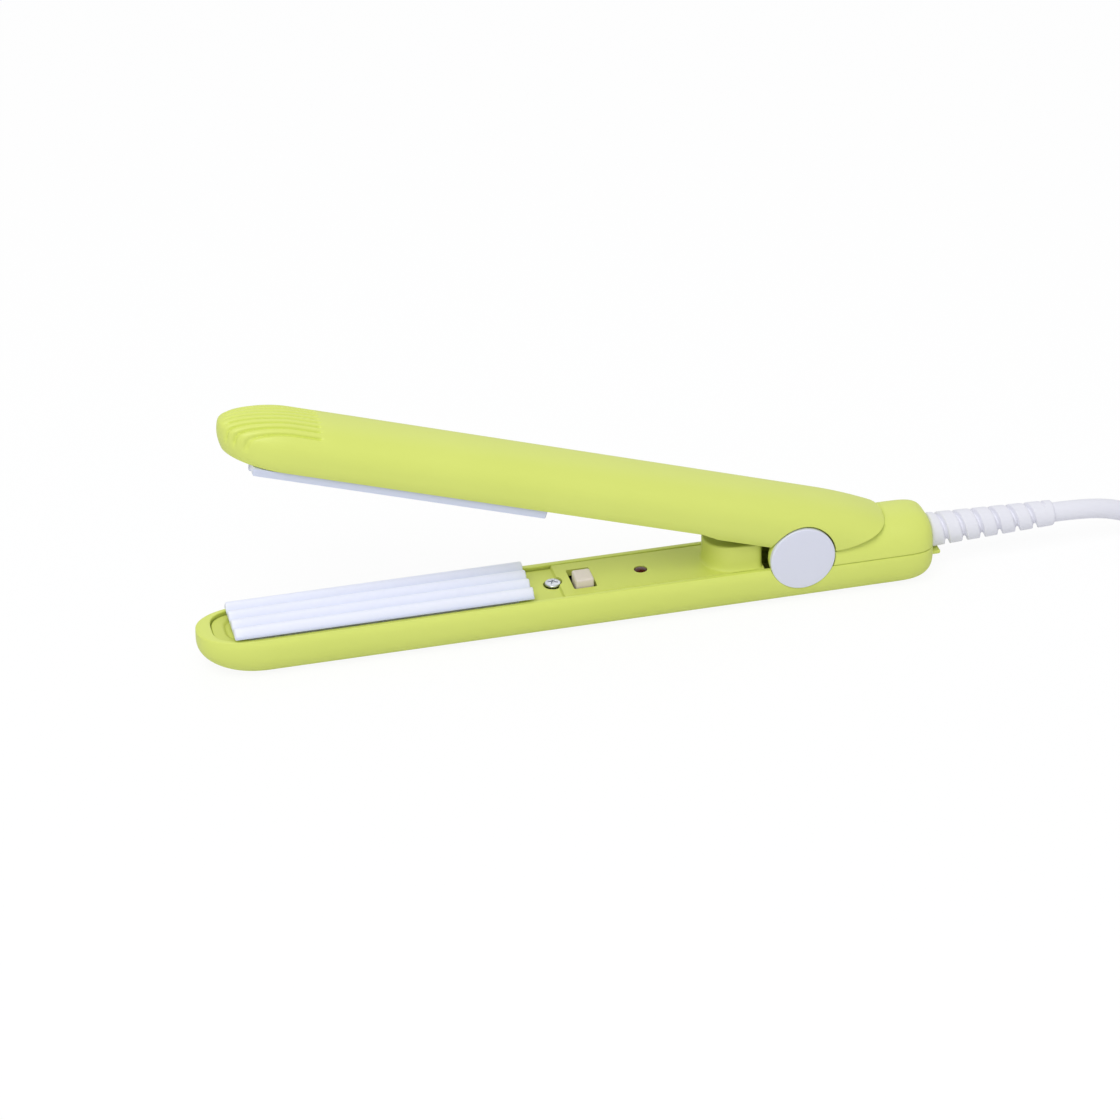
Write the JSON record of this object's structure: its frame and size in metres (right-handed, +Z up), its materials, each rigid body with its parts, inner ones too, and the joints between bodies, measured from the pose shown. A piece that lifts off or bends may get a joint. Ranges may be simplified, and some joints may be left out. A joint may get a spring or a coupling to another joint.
{
  "type": "hair crimper",
  "caption": "Slim clamshell hair crimper: hinged arms held open by a spring, waved plates in the jaws, slide switch, lamp, round hinge caps and a mains cord",
  "frame": {"origin": "on the floor under the middle of the body without its cord, arms open", "axes": "+X along the lower arm towards the cord, +Y across the arms, +Z up"},
  "size_m": [0.3221, 0.0434, 0.0662],
  "materials": {
    "casing": "fine-grained matte moulding, lime green",
    "plate": "pearly white ceramic coat on aluminium",
    "cap": "satin grey cap",
    "steel": "plated steel",
    "ceramic": "white ceramic strip",
    "insulator": "heat-resistant black moulding",
    "knob": "beige moulding",
    "board": "coated circuit board",
    "component": "dipped components",
    "lens": "dark red tinted lens",
    "wire": "sleeved wire",
    "cord": "white flexible jacket",
    "pins": "nickelled brass pins"
  },
  "bodies": {
    "lower_arm": {"lower_casing": "casing", "lower_inner_panel": "casing", "rear_cover": "casing", "lower_crimp_plate": "plate", "hinge_cap_near": "cap", "hinge_cap_far": "cap", "lower_heater_clamp": "steel", "panel_screw": "steel", "rear_screws": "steel", "hinge_pin": "steel", "arm_spring": "steel", "lower_heater_element": "ceramic", "lower_plate_carrier": "insulator", "switch_body": "insulator", "cord_clamp": "insulator", "circuit_board": "board", "board_components": "component", "indicator_lamp": "lens", "lower_lead_wires": "wire", "mains_lead": "wire", "strain_relief": "cord", "power_cord": "cord", "cord_coil": "cord", "plug_body": "cord", "plug_pins": "pins"},
    "upper_arm": {"upper_casing": "casing", "upper_inner_panel": "casing", "upper_crimp_plate": "plate", "upper_heater_element": "ceramic", "upper_heater_clamp": "steel", "upper_plate_carrier": "insulator", "upper_screws": "steel", "upper_lead_wires": "wire"},
    "switch_knob": {"switch_slider": "knob"}
  },
  "joints": [
    {"name": "arm_hinge", "type": "hinge", "parent": "lower_arm", "child": "upper_arm", "pos_m": [0.05275, 0, 0.0129], "axis": [0, -1, 0], "range_deg": [0, 17.6], "stiffness_Nm_per_rad": 0.35, "springref_deg": -28.65, "deforming": ["arm_spring"]},
    {"name": "switch_slide", "type": "slide", "parent": "lower_arm", "child": "switch_knob", "axis": [0, 1, 0], "range_m": [0, 0.0033]}
  ]
}
